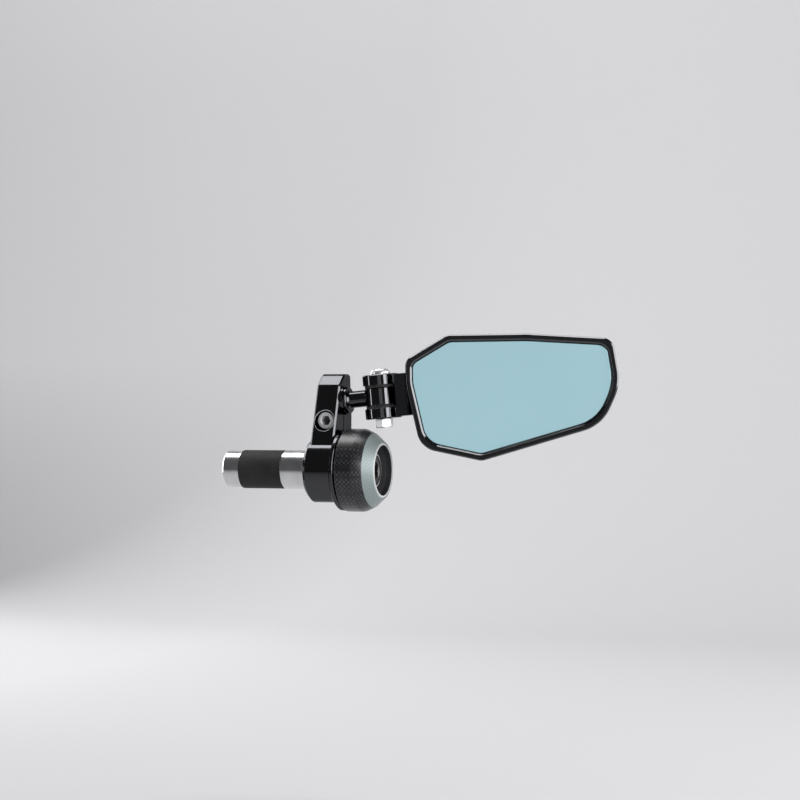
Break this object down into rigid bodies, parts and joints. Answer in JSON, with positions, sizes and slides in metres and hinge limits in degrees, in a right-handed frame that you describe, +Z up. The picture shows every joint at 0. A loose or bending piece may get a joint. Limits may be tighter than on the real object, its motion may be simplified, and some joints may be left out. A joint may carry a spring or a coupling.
{
  "type": "motorcycle bar end mirror",
  "caption": "Handlebar end mirror with an expanding plug, a carbon end cap, a clamp arm with a tilting knuckle, and a slim folding head with pale blue glass.",
  "frame": {"origin": "on the handlebar's axis, at the shoulder face that meets the end of the bar", "axes": "+X outboard along the handlebar's axis, +Y forward, away from the rider, +Z up"},
  "size_m": [0.1774, 0.0404, 0.0784],
  "materials": {
    "black_anodised": "gloss black anodised",
    "black_screw": "black oxide with a bright rim",
    "stainless": "turned and polished",
    "carbon": "twill carbon under satin lacquer",
    "rubber": "matt",
    "nylon": "matt",
    "blue_glass": "pale blue anti-glare mirror"
  },
  "bodies": {
    "fitting": {"bar_adaptor": "stainless", "expander_sleeve": "rubber", "wedge_nut": "stainless", "centre_bolt": "black_screw", "cap_washer": "stainless", "end_disc": "black_anodised", "cap_core": "black_anodised", "end_cap": "carbon"},
    "arm": {"clamp_arm": "black_anodised", "pinch_screw": "stainless"},
    "knuckle": {"knuckle": "black_anodised", "knuckle_screw": "stainless", "spring_washer": "stainless"},
    "head": {"clevis_bracket": "black_anodised", "pivot_bolt": "stainless", "pivot_nut": "stainless", "upper_friction_washer": "nylon", "lower_friction_washer": "nylon", "mirror_housing": "black_anodised", "glass_pad": "rubber", "mirror_glass": "blue_glass", "housing_screws": "stainless"}
  },
  "joints": [
    {"name": "arm_swing", "type": "hinge", "parent": "fitting", "child": "arm", "pos_m": [0.008, 0, 0], "axis": [1, 0, 0], "continuous": true},
    {"name": "mirror_tilt", "type": "hinge", "parent": "arm", "child": "knuckle", "pos_m": [0.01575, 0.004, 0.031], "axis": [0.9956, 0, 0.0941], "range_deg": [-30, 30]},
    {"name": "mirror_fold", "type": "hinge", "parent": "knuckle", "child": "head", "pos_m": [0.03238, 0.004, 0.03257], "axis": [-0.0941, 0, 0.9956], "range_deg": [-50, 60]}
  ]
}
